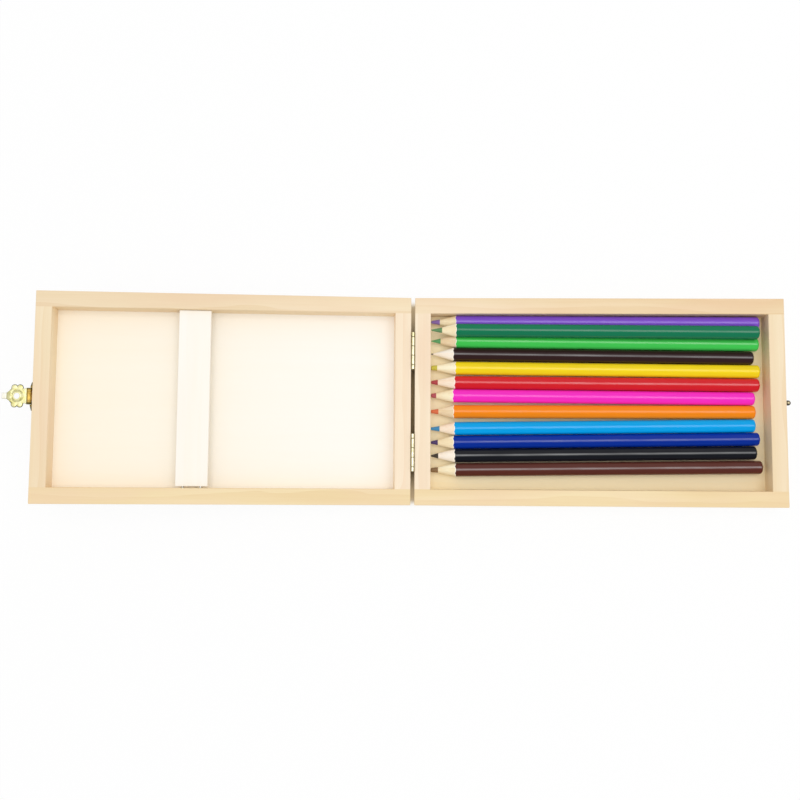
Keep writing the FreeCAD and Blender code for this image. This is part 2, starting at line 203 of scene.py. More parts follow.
def fading_in(tree, place, inset, reach, nearer=0.0):
    """0 under the box, rising to 1 from an inset within its edge over a reach."""
    middle_of_dark = foot_middle - Vector((0, nearer, 0))
    one_side = vector_maths(tree, "ABSOLUTE", vector_maths(tree, "SUBTRACT", place, middle_of_dark))
    dark_half = foot_half - Vector((inset, inset, 0))
    outside = vector_maths(tree, "MAXIMUM", vector_maths(tree, "SUBTRACT", one_side, dark_half))
    distance = put(tree, "VectorMath", {0: outside}, operation="LENGTH").outputs["Value"]
    return ramp(tree, distance, 0.0, reach, interpolation_type="SMOOTHSTEP")


world = bpy.data.worlds.new("white_studio")
bpy.context.scene.world = world
world.use_nodes = True
tree = world.node_tree
background = tree.nodes["Background"].inputs
feed(tree, background["Color"], WHITE)
feed(tree, background["Strength"], ramp(tree, seen_directly(tree), 0.0, 1.0, FILL_STRENGTH, 1.0))

lamp_data = bpy.data.lights.new("overhead_lamp", "AREA")
lamp_data.shape = "RECTANGLE"
lamp_data.size, lamp_data.size_y = LAMP_SIZES
lamp_data.energy = LAMP_WATTS
lamp = add_object("overhead_lamp", lamp_data)
lamp.location = HINGE + LAMP_FROM_HINGE

foot_left, foot_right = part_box("lid_rail_near")[0].x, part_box("base_rail_near")[1].x
foot_near, foot_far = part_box("base_rail_near")[0].y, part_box("base_rail_far")[1].y
foot_middle = Vector(((foot_left + foot_right) / 2, (foot_near + foot_far) / 2, 0))
foot_half = Vector(((foot_right - foot_left) / 2, (foot_far - foot_near) / 2, 0))
lid_edge = HINGE.x - LID_START

floor_material, tree, paint = new_material("white_floor")
place = object_space(tree)
clear = fading_in(tree, place, SHADOW_INSET, SHADOW_REACH)
# Painted light in the gap's ends
painted_light_in_gap = fading_in(tree, place, CREEP_INSET, CREEP_REACH, CREEP_NEARER)
along_box = put(tree, "SeparateXYZ", {0: place}).outputs["X"]
under_lid = ramp(tree, along_box, lid_edge, lid_edge - LID_FADE)
open_floor = maths(tree, "MAXIMUM", clear, under_lid)
# Painted brown shade under the box, and below it a painted warm glow
feed(tree, paint.inputs["Base Color"], tinted(tree, open_floor, GAP_PAINTED_SHADE, FLOOR_TONE))
feed(tree, paint.inputs["Roughness"], FLOOR_ROUGHNESS)
glow = put(tree, "Emission", {"Color": tinted(tree, open_floor, GAP_PAINTED_GLOW, WHITE), "Strength": 1.0})
painted_light_share = maths(tree, "MULTIPLY", painted_light_in_gap, CREEP_SHARE)
softened = maths(tree, "MULTIPLY", under_lid, LID_SHARE)
whitened = maths(tree, "MULTIPLY", clear, FLOOR_WHITENING)
whitening = maths(tree, "MAXIMUM", maths(tree, "MAXIMUM", painted_light_share, softened), whitened)
share = maths(tree, "MULTIPLY", seen_directly(tree), whitening)
mixed = put(tree, "MixShader", {0: share, 1: paint.outputs[0], 2: glow.outputs[0]})
feed(tree, tree.nodes["Material Output"].inputs["Surface"], mixed.outputs[0])

bm = bmesh.new()
bmesh.ops.create_grid(bm, x_segments=1, y_segments=1, size=FLOOR_SIDE / 2)
floor = mesh_object("floor", bm, [floor_material])

view = bpy.context.scene.view_settings
view.view_transform = "Standard"
print("lamp", LAMP_WATTS, "W over a floor", FLOOR_SIDE, "m wide")

# %% [markdown]
# ## Wood, once for every wooden piece
# All the wood here is pale and close-grained, like basswood: soft broad bands, faint
# growth lines and fine fibres, all running along the piece. That is one node group. A
# solid texture is squeezed along the grain, so it looks right on every face and on the
# cut ends too. Each piece then puts the group in its own space, turned along its own
# grain and shifted, so that no two pieces show the same figure.

# %% The wood group
BAND_SQUEEZE, BAND_SCALE = (0.07, 1, 1), 85
FIBRE_SQUEEZE, FIBRE_SCALE, FIBRE_DETAIL = (0.02, 1, 1), 1500, 3
PATCH_SQUEEZE, PATCH_SCALE, PATCH_RANGE = (0.25, 1, 1), 70, (0.42, 0.66)
LINE_SQUEEZE, LINE_SCALE, LINE_RELIEF = (0.12, 1, 0.6), 42, 0.3
LINE_WANDERING = {"Distortion": 5, "Detail": 2, "Detail Scale": 2.2}
FIBRE_RANGE, WOOD_ROUGHNESS = (0.3, 0.7), (0.48, 0.66)


def new_group(name, inputs, outputs):
    """A shader node group with its sockets, and its input and output nodes."""
    group = bpy.data.node_groups.new(name, "ShaderNodeTree")
    for label, kind, value in inputs:
        socket = group.interface.new_socket(label, in_out="INPUT", socket_type="NodeSocket" + kind)
        socket.default_value = value
    for label, kind in outputs:
        group.interface.new_socket(label, in_out="OUTPUT", socket_type="NodeSocket" + kind)
    return group, group.nodes.new("NodeGroupInput").outputs, group.nodes.new("NodeGroupOutput").inputs


def noise(tree, space, squeeze, scale, detail=2.0):
    """Noise in a space squeezed by a share along each axis."""
    squeezed = put(tree, "Mapping", {"Vector": space, "Scale": squeeze}).outputs[0]
    return put(tree, "TexNoise", {"Vector": squeezed, "Scale": scale, "Detail": detail}).outputs["Fac"]


def swing(tree, value, size):
    """How far a value swings to either side of 0.5, times a size."""
    return maths(tree, "MULTIPLY", maths(tree, "SUBTRACT", value, 0.5), size)


timber, told, given = new_group(
    "close_grained_wood",
    [("Vector", "Vector", (0, 0, 0)), ("Deep", "Color", WHITE), ("Pale", "Color", WHITE),
     ("Warm", "Color", WHITE), ("Warmth", "Float", 0.0),
     ("Bands", "Float", 0.5), ("Lines", "Float", 0.2), ("Fibres", "Float", 0.2)],
    [("Color", "Color"), ("Height", "Float"), ("Roughness", "Float")],
)
bands = noise(timber, told["Vector"], BAND_SQUEEZE, BAND_SCALE)
fibres = noise(timber, told["Vector"], FIBRE_SQUEEZE, FIBRE_SCALE, FIBRE_DETAIL)
patches = noise(timber, told["Vector"], PATCH_SQUEEZE, PATCH_SCALE)
line_space = put(timber, "Mapping", {"Vector": told["Vector"], "Scale": LINE_SQUEEZE}).outputs[0]
growth = put(
    timber, "TexWave", {"Vector": line_space, "Scale": LINE_SCALE, **LINE_WANDERING},
    bands_direction="Y", wave_profile="SAW",
).outputs["Fac"]
coarse = maths(timber, "ADD", swing(timber, bands, told["Bands"]), swing(timber, growth, told["Lines"]))
total = maths(timber, "ADD", coarse, swing(timber, fibres, told["Fibres"]))
plain = tinted(timber, maths(timber, "ADD", total, 0.5, use_clamp=True), told["Pale"], told["Deep"])
warmed = maths(timber, "MULTIPLY", ramp(timber, patches, *PATCH_RANGE), told["Warmth"])
feed(timber, given["Color"], tinted(timber, warmed, plain, told["Warm"]))
feed(timber, given["Height"], plus_share(timber, fibres, growth, LINE_RELIEF))
feed(timber, given["Roughness"], ramp(timber, fibres, *FIBRE_RANGE, *WOOD_ROUGHNESS))
print("wood group:", len(timber.nodes), "nodes")

# %% [markdown]
# ## Rails and slat
# Each frame is four rails butted together, so the long rails' grain runs along X and the
# short ones' along Y. On the real box every rail is a separate strip, and their tones
# differ: some are straw yellow, some cream and some faintly pink. A few named tones,
# two to a rail, give that, and three of the long rails turn a little browner away from
# the hinge. The lid's pieces stand tilted, so their space is tilted back.

# %% Wooden pieces
WOOD_RELIEF = 0.03 * MM
SHIFT_RANGE = (0, 3)


def tone(red, green, blue):
    """A screen colour, 0 to 255, as the linear colour that a shader takes."""
    shares = [channel / 255 for channel in (red, green, blue)]
    return tuple(c / 12.92 if c <= 0.04045 else ((c + 0.055) / 1.055) ** 2.4 for c in shares) + (1,)


TONES = {
    "straw": tone(236, 209, 160),
    "honey": tone(227, 195, 148),
    "sand": tone(236, 211, 169),
    "cream": tone(248, 231, 200),
    "butter": tone(247, 228, 186),
    "blush": tone(242, 216, 184),
    "shell": tone(253, 238, 212),
    "petal": tone(241, 208, 178),
    "ivory": tone(254, 247, 233),
    "snow": tone(255, 252, 246),
    "frost": tone(255, 250, 241),
    "shaving": tone(255, 243, 224),
    "peach": tone(252, 224, 196),
    "maize": tone(255, 236, 192),
    "vanilla": tone(255, 246, 214),
}
RAIL_TONES = {
    "base_rail_far": ("sand", "cream"),
    "base_rail_near": ("straw", "butter"),
    "base_rail_hinge_side": ("blush", "shell"),
    "base_rail_latch_side": ("sand", "cream"),
    "lid_rail_far": ("sand", "cream"),
    "lid_rail_near": ("straw", "butter"),
    "lid_rail_hinge_side": ("blush", "shell"),
    "lid_rail_latch_side": ("sand", "cream"),
}
# The tint that a rail takes on, and where it starts and ends, in millimetres from the hinge
RAIL_DRIFTS = {
    "base_rail_far": (tone(249, 241, 231), 35, 80),
    "base_rail_near": (tone(251, 248, 241), 115, 150),
    "lid_rail_far": (tone(250, 247, 244), 20, 100),
}
LAID_BACK = Matrix.Rotation(OPEN_TILT, 3, "Y")
ALONG_Y = Matrix.Rotation(math.radians(90), 3, "Z")
pick = random.Random(7)


def piece_space(tree, on_lid, along_y, shift):
    """The piece's own space: X along its grain, turned back where the lid stands tilted."""
    turn = (LAID_BACK if on_lid else Matrix.Identity(3)) @ (ALONG_Y if along_y else Matrix.Identity(3))
    inputs = {"Vector": object_space(tree), "Location": HINGE, "Rotation": turn.to_euler()}
    space = put(tree, "Mapping", inputs, vector_type="TEXTURE")
    return vector_maths(tree, "ADD", space.outputs[0], shift)


def dress(tree, shader, group, inputs, depth):
    """Places a group, and takes the shader's colour, roughness and relief from it."""
    skin = put(tree, "Group", inputs, node_tree=group)
    feed(tree, shader.inputs["Base Color"], skin.outputs["Color"])
    feed(tree, shader.inputs["Roughness"], skin.outputs["Roughness"])
    relief = put(tree, "Bump", {"Height": skin.outputs["Height"], "Distance": depth, "Strength": 1.0})
    feed(tree, shader.inputs["Normal"], relief.outputs["Normal"])
    return skin


def wood_material(name, deep, pale, on_lid, along_y, bands=1.2, lines=0.4, fibres=0.45, warmth=0.35):
    material, tree, shader = new_material(name)
    shift = [pick.uniform(*SHIFT_RANGE) for _ in range(3)]
    grain = {
        "Vector": piece_space(tree, on_lid, along_y, shift), "Deep": TONES[deep], "Pale": TONES[pale],
        "Bands": bands, "Lines": lines, "Fibres": fibres, "Warm": TONES["petal"], "Warmth": warmth,
    }
    dress(tree, shader, timber, grain, WOOD_RELIEF)
    feed(tree, shader.inputs["Specular IOR Level"], 0.3)
    return material


def finish_solid(name, material):
    """Gives a solid its material."""
    nodes[name].data.materials.clear()
    nodes[name].data.materials.append(material)


def drifting(tree, colour, tint, on_lid, start, end):
    """A colour that takes on a tint away from the hinge."""
    flat = put(tree, "SeparateXYZ", {0: piece_space(tree, on_lid, False, (0, 0, 0))})
    drift = ramp(tree, maths(tree, "ABSOLUTE", flat.outputs["X"]), start, end)
    return tinted(tree, drift, colour, tint, "MULTIPLY")


for rail, (deep, pale) in RAIL_TONES.items():
    short = rail.endswith("side")
    finish_solid(rail, wood_material(rail + "_wood", deep, pale, rail.startswith("lid"), short))
for rail, (tint, start, end) in RAIL_DRIFTS.items():
    tree = nodes[rail].data.materials[0].node_tree
    colour = tree.nodes["Principled BSDF"].inputs["Base Color"]
    grain = colour.links[0].from_socket
    feed(tree, colour, drifting(tree, grain, tint, rail.startswith("lid"), start * MM, end * MM))
slat_wood = wood_material("slat_wood", "ivory", "snow", True, True, lines=0.12, fibres=0.2, warmth=0.05)
finish_solid("lid_slat", slat_wood)
print("rails:", len(RAIL_TONES), "and the slat")

# %% [markdown]
# ## The two panels
# Each tray is closed by a thin plywood panel glued under its frame. The lid's panel is
# whiter than the rails, and the base's is about as tan. Inside, only the face veneer
# shows, but at the outer edge the plies do: two pale skins, a darker core, and a thin
# brown glue line between them. The plies are a stripe across the panel's thickness, kept
# to the faces whose own normal lies flat.

# %% Panels
CORE_HALF, GLUE_HALF = 0.9 * MM, 0.1 * MM
LIES_FLAT_BELOW = 0.6
CORE_DEEPENING, GLUE_TONE = 0.5, tone(150, 112, 66)
DRIFT_FROM, DRIFT_TO = 30 * MM, 160 * MM

ply, told, given = new_group(
    "ply_edge",
    [("Height", "Float", 0.0), ("Face", "Color", WHITE), ("Core", "Color", WHITE), ("Glue", "Color", WHITE)],
    [("Color", "Color")],
)
upright = put(ply, "SeparateXYZ", {0: put(ply, "TexCoord").outputs["Normal"]}).outputs["Z"]
edge = maths(ply, "LESS_THAN", maths(ply, "ABSOLUTE", upright), LIES_FLAT_BELOW)
off_middle = maths(ply, "ABSOLUTE", told["Height"])
in_core = maths(ply, "LESS_THAN", off_middle, CORE_HALF)
from_glue = maths(ply, "ABSOLUTE", maths(ply, "SUBTRACT", off_middle, CORE_HALF))
in_glue = maths(ply, "LESS_THAN", from_glue, GLUE_HALF)
core = tinted(ply, maths(ply, "MULTIPLY", in_core, edge), told["Face"], told["Core"])
glued = tinted(ply, maths(ply, "MULTIPLY", in_glue, edge), core, told["Glue"])
feed(ply, given["Color"], glued)


def panel_material(name, deep, pale, far_tint, on_lid, middle_height):
    """Face veneer that drifts in tint away from the hinge, and plies on its edge."""
    material = wood_material(name, deep, pale, on_lid, False, bands=0.9, lines=0.15, fibres=0.2, warmth=0.0)
    tree = material.node_tree
    colour = tree.nodes["Principled BSDF"].inputs["Base Color"]
    grain = colour.links[0].from_socket
    flat = put(tree, "SeparateXYZ", {0: piece_space(tree, on_lid, False, (0, 0, -middle_height))})
    plies = {
        "Height": flat.outputs["Z"], "Face": drifting(tree, grain, far_tint, on_lid, DRIFT_FROM, DRIFT_TO),
        "Core": tinted(tree, CORE_DEEPENING, grain, TONES["honey"], "MULTIPLY"), "Glue": GLUE_TONE,
    }
    feed(tree, colour, put(tree, "Group", plies, node_tree=ply).outputs["Color"])
    return material


base_low, base_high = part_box("base_panel")
PANEL_MIDDLE = (base_low.z + base_high.z) / 2 - HINGE.z
tanned, creamy = tone(248, 244, 240), tone(255, 250, 239)
finish_solid("base_panel", panel_material("base_panel_ply", "maize", "vanilla", tanned, False, PANEL_MIDDLE))
finish_solid("lid_panel", panel_material("lid_panel_ply", "frost", "snow", creamy, True, PANEL_MIDDLE))
print("panel middle", round(PANEL_MIDDLE / MM, 2), "mm from the hinge line")

# %% [markdown]
# ## Brass, steel and bronze
# The hinges and the hasp are thin rolled brass, pale and a little blotchy. In the joints
# between knuckles and on the hinge leaves they are darkened by tarnish together with
# painted shade, down the knuckles' sides by a painted dark reflection, and along stamped
# edges they are darker too. The stud is like lacquered bronze with a paler neck, and the
# pins and brads are plain steel wire. One group gives all of them their blotches,
# scratches and uneven shine. The darkening is a value kept at each piece's own vertices,
# so it follows the shape through every pose.

# %% Metals
UNSQUEEZED = (1, 1, 1)
BLOTCH_SCALE, BLOTCH_DETAIL, BLOTCH_RANGE = 420, 4, (0.42, 0.7)
SCRATCH_SQUEEZE, SCRATCH_SCALE = (1, 0.05, 1), 6000
# How the mix of tarnish and painted shade spreads, and how much rougher it makes the metal
TARNISH_AND_SHADE_UNEVENNESS, TARNISH_AND_SHADE_RANGE = 0.55, (0.05, 0.95)
BLOTCH_RELIEF, BLOTCH_ROUGHNESS, TARNISH_AND_SHADE_ROUGHNESS = 2.0, 0.2, 0.2
METAL_RELIEF = 0.008 * MM

metal, told, given = new_group(
    "metal_tarnish_and_shade",
    [("Vector", "Vector", (0, 0, 0)), ("Bright", "Color", WHITE), ("Dull", "Color", WHITE),
     ("Tarnished_and_shaded", "Color", WHITE), ("Tarnish_and_shade_amount", "Float", 0.0), ("Smooth", "Float", 0.25)],
    [("Color", "Color"), ("Height", "Float"), ("Roughness", "Float")],
)
blotches = noise(metal, told["Vector"], UNSQUEEZED, BLOTCH_SCALE, BLOTCH_DETAIL)
scratches = noise(metal, told["Vector"], SCRATCH_SQUEEZE, SCRATCH_SCALE)
rubbed = tinted(metal, ramp(metal, blotches, *BLOTCH_RANGE), told["Bright"], told["Dull"])
# Tarnish together with painted shade and painted dark reflection, from each piece's own vertex value
patchy = maths(metal, "ADD", blotches, TARNISH_AND_SHADE_UNEVENNESS)
tarnish_and_shade = ramp(metal, maths(metal, "MULTIPLY", told["Tarnish_and_shade_amount"], patchy), *TARNISH_AND_SHADE_RANGE)
feed(metal, given["Color"], tinted(metal, tarnish_and_shade, rubbed, told["Tarnished_and_shaded"]))
feed(metal, given["Height"], plus_share(metal, scratches, blotches, BLOTCH_RELIEF))
dulled = plus_share(metal, told["Smooth"], blotches, BLOTCH_ROUGHNESS)
rough = plus_share(metal, dulled, told["Tarnish_and_shade_amount"], TARNISH_AND_SHADE_ROUGHNESS)
feed(metal, given["Roughness"], rough)


def kept_value(tree, name):
    """A value that a mesh keeps at each vertex."""
    return put(tree, "Attribute", attribute_type="GEOMETRY", attribute_name=name).outputs["Fac"]


def metal_material(name, bright, dull, tarnished_and_shaded_colour, smooth):
    """Metal that varies between two screen colours, with a third for tarnish and painted shade."""
    material, tree, shader = new_material(name)
    metal_skin = {
        "Vector": object_space(tree), "Bright": tone(*bright), "Dull": tone(*dull),
        "Tarnished_and_shaded": tone(*tarnished_and_shaded_colour), "Tarnish_and_shade_amount": kept_value(tree, "tarnish_and_shade"), "Smooth": smooth,
    }
    dress(tree, shader, metal, metal_skin, METAL_RELIEF)
    feed(tree, shader.inputs["Metallic"], 1.0)
    return material


brass = metal_material("pale_brass", (238, 231, 198), (216, 205, 158), (140, 128, 82), 0.2)
# A brighter copy for the hasp's tab: rubbing together with a painted highlight
rubbed_brass_painted_highlight = metal_material("rubbed_brass_painted_highlight", (255, 253, 244), (248, 243, 224), (96, 94, 72), 0.35)
stamped_brass = metal_material("stamped_brass", (224, 219, 170), (200, 192, 120), (58, 60, 34), 0.3)
# A darker copy for the hasp's plate, barrel and nails: painted shade
shaded_brass = metal_material("amber_brass_painted_shade", (206, 172, 88), (160, 128, 58), (92, 84, 46), 0.3)
steel = metal_material("steel_wire", (205, 204, 200), (160, 158, 152), (110, 104, 96), 0.25)
bronze = metal_material("dark_bronze", (188, 176, 146), (130, 116, 86), (44, 38, 26), 0.16)
METAL_OF = {
    brass: ["base_hinge_nails", "lid_hinge_nails"],
    shaded_brass: ["hasp_nails"],
    steel: ["hinge_pin_far", "hinge_pin_near", "hasp_pin", "slat_brads"],
    bronze: ["latch_stud"],
}
for material, names in METAL_OF.items():
    for name in names:
        finish_solid(name, material)
print("metal solids:", sum(len(names) for names in METAL_OF.values()))

# %% [markdown]
# ## The stud's painted shade and highlight
# The stud's head is darkened round its sides, at its back and at its outer end, and left
# pale across its middle: painted shade round a painted highlight. Its neck, where the flap
# slides, is left pale as well. The stud is a solid whose mesh stays as it is, so this
# darkening is worked out from how far a point is from the stud's middle.

# %% Stud with painted shade and highlight
STUD_HEAD, NECK_LENGTH = 1.35 * MM, 1.1 * MM
SIDE_SHARES, END_SHARES, COLLAR_SHARES = (0.3, 0.65), (0.9, 0.4), (1.35, 1.6)

stud_low, stud_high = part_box("latch_stud")
wood_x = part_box("base_rail_latch_side")[1].x
tree = bronze.node_tree
spot = put(tree, "SeparateXYZ", {0: object_space(tree)}).outputs
# Painted shade round the head's sides, back and outer end, leaving a painted highlight across its middle
aside = maths(tree, "ABSOLUTE", maths(tree, "SUBTRACT", spot["Y"], (stud_low.y + stud_high.y) / 2))
sides = ramp(tree, aside, *[share * STUD_HEAD for share in SIDE_SHARES])
end = ramp(tree, spot["X"], *[stud_high.x - share * STUD_HEAD for share in END_SHARES])
collar = ramp(tree, spot["X"], *[wood_x + share * NECK_LENGTH for share in COLLAR_SHARES], 1.0, 0.0)
dark = maths(tree, "MAXIMUM", maths(tree, "MAXIMUM", sides, end), collar)
past_neck = maths(tree, "GREATER_THAN", spot["X"], wood_x + NECK_LENGTH)
metal_skin = next(node for node in tree.nodes if node.type == "GROUP")
feed(tree, metal_skin.inputs["Tarnish_and_shade_amount"], maths(tree, "MULTIPLY", dark, past_neck))

# %% [markdown]
# ## Hinge leaves
# Seen from above, a closed-up butt hinge is a row of five knuckles in the gap between the
# halves, three on the base's leaf and two on the lid's. Each knuckle could be left a
# plain cylinder, but then the row would read as one smooth rod. So each one is a turned
# cylinder with rounded rims. Its rims carry tarnish together with painted shade, and its
# flanks a painted dark reflection of the gap. The leaf behind is a thin plate against the
# wood, darkened by tarnish together with painted shade.

# %% Shapes and helpers for sheet brass
UP_TO_X = Matrix(((0, 0, 1, 0), (1, 0, 0, 0), (0, 1, 0, 0), (0, 0, 0, 1)))
UP_TO_Y = Matrix(((1, 0, 0, 0), (0, 0, 1, 0), (0, -1, 0, 0), (0, 0, 0, 1)))
KNUCKLE_SEGMENTS = 48
CLOSE = 0.01 * MM


def shade(piece, sharp_degrees=35):
    """Smooth shading, with creases where faces meet at more than an angle."""
    piece.data.shade_smooth()
    piece.data.set_sharp_from_angle(angle=math.radians(sharp_degrees))


def round_edges(bm, edges, width, segments=3):
    """Bevels edges to a round."""
    bmesh.ops.bevel(bm, geom=edges, offset=width, segments=segments, profile=0.5, affect="EDGES", material=-1)


def edges_of(verts):
    """Every edge that touches any of some vertices."""
    return {e for v in verts for e in v.link_edges}


def slab(bm, low, high, edge):
    """A block between two corners with softened edges."""
    low, high = Vector(low), Vector(high)
    size = Matrix.Diagonal((*(high - low), 1))
    made = bmesh.ops.create_cube(bm, size=1, matrix=Matrix.Translation((low + high) / 2) @ size)
    round_edges(bm, list(edges_of(made["verts"])), edge, 2)


def knuckle(bm, radius, start, end, rim):
    """A turned cylinder along Y round the axis, with rounded rims."""
    made = bmesh.ops.create_cone(
        bm, cap_ends=True, segments=KNUCKLE_SEGMENTS, radius1=radius, radius2=radius, depth=end - start,
        matrix=Matrix.Translation((0, (start + end) / 2, 0)) @ UP_TO_Y,
    )
    rims = [e for e in edges_of(made["verts"]) if abs(e.verts[0].co.y - e.verts[1].co.y) < CLOSE]
    round_edges(bm, rims, rim)


def mark(mesh, name, amount):
    """Keeps a value from 0 to 1 at each vertex of a mesh."""
    marks = mesh.attributes.new(name, "FLOAT", "POINT")
    for vertex, kept in zip(mesh.vertices, marks.data):
        kept.value = min(1.0, max(0.0, amount(vertex.co)))

# %% Four hinge leaves
KNUCKLE_RADIUS, KNUCKLE_RIM, KNUCKLE_GAP = 0.95 * MM, 0.2 * MM, 0.1 * MM
KNUCKLE_EIGHTHS = (1, 2, 2, 2, 1)
LEAF_INSIDE, LEAF_OUTSIDE, LEAF_DROP, LEAF_NOTCH = 0.5 * MM, 1.0 * MM, 7.0 * MM, 1.1 * MM
LEAF_EDGE, STRAP_EDGE = 0.08 * MM, 0.05 * MM
# Tarnish with painted shade on the leaf and rims; painted dark reflection on the flanks past the crown
LEAF_TARNISH_AND_SHADE, RIM_TARNISH_AND_SHADE, BRIGHT_SHARE, FLANK_PAINTED_REFLECTION_SHARE = 0.5, 1.6, 0.45, 0.4
HALF_TURN = Matrix.Rotation(math.radians(180), 4, "Z")


def hinge_leaf(name, place, first_knuckle):
    """One leaf; every second knuckle is its own, from the first one given."""
    low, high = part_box(name)
    length = high.y - low.y
    bm = bmesh.new()
    slab(bm, (LEAF_INSIDE, -length / 2, -LEAF_DROP), (LEAF_OUTSIDE, length / 2, -LEAF_NOTCH), LEAF_EDGE)
    spans, start = [], -length / 2
    for eighths in KNUCKLE_EIGHTHS:
        end = start + length * eighths / sum(KNUCKLE_EIGHTHS)
        spans.append((start + KNUCKLE_GAP / 2, end - KNUCKLE_GAP / 2))
        start = end
    own = spans[first_knuckle::2]
    for start, end in own:
        slab(bm, (LEAF_INSIDE, start, -LEAF_NOTCH - KNUCKLE_RIM), (LEAF_OUTSIDE, end, 0), STRAP_EDGE)
        knuckle(bm, KNUCKLE_RADIUS, start, end, KNUCKLE_RIM)
    piece = mesh_object(name.replace("_hinge_leaf", "_leaf"), bm, [brass])

    # Tarnish together with painted shade below the knuckles and at their rims, and a painted dark reflection
    # down their flanks
    def leaf_tarnish_and_shade(p):
        if p.z < -KNUCKLE_RADIUS:
            return LEAF_TARNISH_AND_SHADE
        past_crown = abs(p.x) / KNUCKLE_RADIUS
        to_rim = min(abs(p.y - edge) for span in own for edge in span)
        return max((past_crown - BRIGHT_SHARE) / FLANK_PAINTED_REFLECTION_SHARE, RIM_TARNISH_AND_SHADE * (1 - to_rim / KNUCKLE_RIM))

    mark(piece.data, "tarnish_and_shade", leaf_tarnish_and_shade)
    piece.data.transform(place)
    shade(piece)
    return piece


for side in ("far", "near"):
    for half, first_knuckle in (("base", 0), ("lid", 1)):
        name = f"{half}_hinge_leaf_{side}"
        low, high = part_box(name)
        axis = Vector((HINGE.x, (low.y + high.y) / 2, HINGE.z))
        turn = Matrix.Identity(4) if half == "base" else LAID_BACK.to_4x4() @ HALF_TURN
        piece = hinge_leaf(name, Matrix.Translation(axis) @ turn, first_knuckle)
        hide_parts(name)
        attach(piece, half)
print("hinge leaves: 4, with", len(KNUCKLE_EIGHTHS), "knuckles to a hinge")

# %% [markdown]
# ## Where each pencil lies
# A pencil is placed from its own solids. Its lead is a round rod along its middle, so the
# middle of the nib and the middle of the far end give the axis. The axes differ by up to
# a degree, because the pencils fan out a little towards their points. No two are
# sharpened alike either, so the cone is read from the barrel: where the wood begins, how
# wide it is there, and how fast it widens to the first touch of paint.

# %% Read the pencils' axes
PENCIL_FLATS = 7.0 * MM
NIB_DEPTH, REAR_DEPTH, START_DEPTH, PAINT_DEPTH = 0.03 * MM, 0.2 * MM, 0.02 * MM, 0.05 * MM
PENCILS = [name[len("pencil_"):-len("_lead")] for name in sorted(nodes) if name.endswith("_lead")]


def middle(points):
    """The middle of the box round some points."""
    return Vector([(min(p[i] for p in points) + max(p[i] for p in points)) / 2 for i in range(3)])


def read_pencil(name):
    """Nib, direction and length of one pencil, and the cone that its sharpener left."""
    lead = [vertex.co for vertex in nodes[f"pencil_{name}_lead"].data.vertices]
    first, last = min(p.x for p in lead), max(p.x for p in lead)
    nib = middle([p for p in lead if p.x < first + NIB_DEPTH])
    rear = middle([p for p in lead if p.x > last - REAR_DEPTH])
    along = (rear - nib).normalized()
    rings = []
    for vertex in nodes[f"pencil_{name}_barrel"].data.vertices:
        reach = (vertex.co - nib).dot(along)
        rings.append((reach, (vertex.co - nib - along * reach).length))
    wood_start = min(reach for reach, off in rings)
    wood_radius = max(off for reach, off in rings if reach < wood_start + START_DEPTH)
    paint_start, paint_off = min((reach, off) for reach, off in rings if off > PENCIL_FLATS / 2 - PAINT_DEPTH)
    slope = (paint_off - wood_radius) / (paint_start - wood_start)
    return {
        "nib": nib, "along": along, "length": max(reach for reach, off in rings), "wood_start": wood_start,
        "wood_radius": wood_radius, "paint_start": paint_start, "slope": slope,
    }


pencil_facts = {name: read_pencil(name) for name in PENCILS}
for name, facts in pencil_facts.items():
    sizes = [round(facts[key] / MM, 2) for key in ("length", "wood_start", "wood_radius", "paint_start")]
    print(f"{name}: length, wood start, wood radius, paint start {sizes} mm, slope {facts['slope']:.3f}")

# %% [markdown]
# ## The pencils' barrels
# A hexagonal pencil is dipped in lacquer before it is sharpened. Sharpening cuts a cone
# through the six flats, which leaves the scalloped edge of the paint, with a thin pale
# line of primer between paint and wood. Here it comes about in the same way: a hexagonal
# bar with well rounded ridges is intersected with a long cone, and the cone's material
# shows where it cut. A second, slightly slimmer bar of bare wood stands a hair proud of
# the cut, so the rim of the first bar is left as the primer line. The lacquer is thick
# and glossy on the ridges and rubbed on the flats, more on one side than on the other, so
# each vertex also keeps its share of the gloss.

# %% Hexagonal bars and the sharpener's cone
RIDGE_ROUND, RIDGE_SEGMENTS = 2.6 * MM, 10
END_ROUND, END_SEGMENTS = 1.3 * MM, 5
PRIMER = 0.08 * MM
WOOD_PROUD = 0.025 * MM
CORE_PAST_PAINT = 3.0 * MM
CONE_BEFORE, CONE_PAST, CONE_SEGMENTS = 0.5 * MM, 1 * MM, 72
RUNS_ALONG = 0.9
RIDGES, RIDGE_EVERY = 6, 60
FULL_GLOSS_ANGLE, RIDGE_HALF_ANGLE = 4, 12
UPPER_GLOSS, LOWER_GLOSS = 0.2, 0.02


def cone_along(start, end, first_radius, last_radius, segments):
    """A cone or a prism along X, as a bmesh of its own."""
    bm = bmesh.new()
    bmesh.ops.create_cone(
        bm, cap_ends=True, segments=segments, radius1=first_radius, radius2=last_radius, depth=end - start,
        matrix=Matrix.Translation(((start + end) / 2, 0, 0)) @ UP_TO_X,
    )
    return bm


def hex_bar(start, end, flats, end_round):
    """A hexagonal bar along X with a ridge on top, its ridges rounded and its far end dipped."""
    corner = flats / math.sqrt(3)
    bm = cone_along(start, end, corner, corner, RIDGES)
    ridges = [e for e in bm.edges if abs((e.verts[0].co - e.verts[1].co).normalized().x) > RUNS_ALONG]
    round_edges(bm, ridges, RIDGE_ROUND * math.tan(math.radians(RIDGE_EVERY / 2)), RIDGE_SEGMENTS)
    if end_round:
        rim = [e for e in bm.edges if all(v.co.x > end - CLOSE for v in e.verts)]
        round_edges(bm, rim, end_round, END_SEGMENTS)
    return bm


